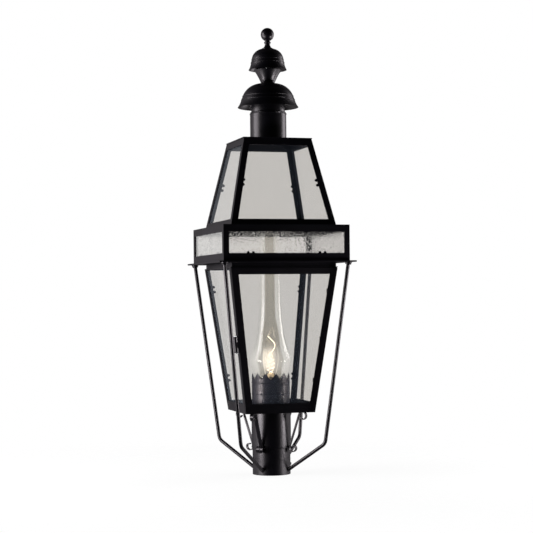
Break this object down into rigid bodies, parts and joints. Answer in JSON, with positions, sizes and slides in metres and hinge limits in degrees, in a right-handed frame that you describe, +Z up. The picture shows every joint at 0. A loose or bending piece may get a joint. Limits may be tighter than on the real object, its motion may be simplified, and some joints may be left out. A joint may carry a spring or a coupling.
{
  "type": "victorian street lantern",
  "caption": "Square glazed post lantern with a tapered body, hinged door, sloping roof, stacked spun bells, bent cradle rods and scroll legs over a round post fitter.",
  "frame": {"origin": "centre of the post fitter's lower rim", "axes": "+Z up along the lantern's centre line; the door is in the face towards -Y"},
  "size_m": [0.2968, 0.2968, 0.967],
  "materials": {
    "black_metal": "satin black powder coat",
    "plain_steel": "zinc plated",
    "clear_glass": "clear polished",
    "seeded_glass": "clear with small bubbles and a wavy face"
  },
  "bodies": {
    "lantern": {"finial": "black_metal", "upper_bell": "black_metal", "cap_cone": "black_metal", "lower_bell": "black_metal", "cap_sleeve": "black_metal", "cap_bridge": "black_metal", "cap_tie_rod": "plain_steel", "cap_spacer": "plain_steel", "vent_tube": "black_metal", "roof_lid": "black_metal", "roof_frame": "black_metal", "roof_glass_front": "clear_glass", "roof_glass_right": "clear_glass", "roof_glass_back": "clear_glass", "roof_glass_left": "clear_glass", "roof_glass_tabs": "black_metal", "gallery_frame": "black_metal", "gallery_glass_front": "seeded_glass", "gallery_glass_right": "seeded_glass", "gallery_glass_back": "seeded_glass", "gallery_glass_left": "seeded_glass", "gallery_glass_tabs": "black_metal", "cradle_plate": "black_metal", "cradle_rod_front_left": "black_metal", "cradle_rod_front_right": "black_metal", "cradle_rod_back_right": "black_metal", "cradle_rod_back_left": "black_metal", "rod_collars": "black_metal", "body_frame": "black_metal", "body_glass_left": "clear_glass", "body_glass_right": "clear_glass", "body_glass_back": "clear_glass", "body_glass_tabs": "black_metal", "floor_plate": "black_metal", "hinge_leaf_frame": "black_metal", "hinge_pin": "plain_steel", "door_catch": "plain_steel", "post_hub": "black_metal", "post_sleeve": "black_metal", "set_screws": "plain_steel", "scroll_leg_front_left": "black_metal", "scroll_leg_front_right": "black_metal", "scroll_leg_back_right": "black_metal", "scroll_leg_back_left": "black_metal", "lamp_cup": "black_metal", "chimney_seat": "black_metal", "glass_chimney": "clear_glass", "bulb": "clear_glass", "lamp_holder": "black_metal", "lamp_pipe": "plain_steel", "pipe_nuts": "plain_steel"},
    "door": {"door_frame": "black_metal", "door_glass": "clear_glass", "door_glass_clips": "black_metal", "hinge_leaf_door": "black_metal"}
  },
  "joints": [
    {"name": "door_hinge", "type": "hinge", "parent": "lantern", "child": "door", "pos_m": [-0.10087, -0.09057, 0.2835], "axis": [0.1284, 0.1284, -0.9834], "range_deg": [0, 85]}
  ]
}
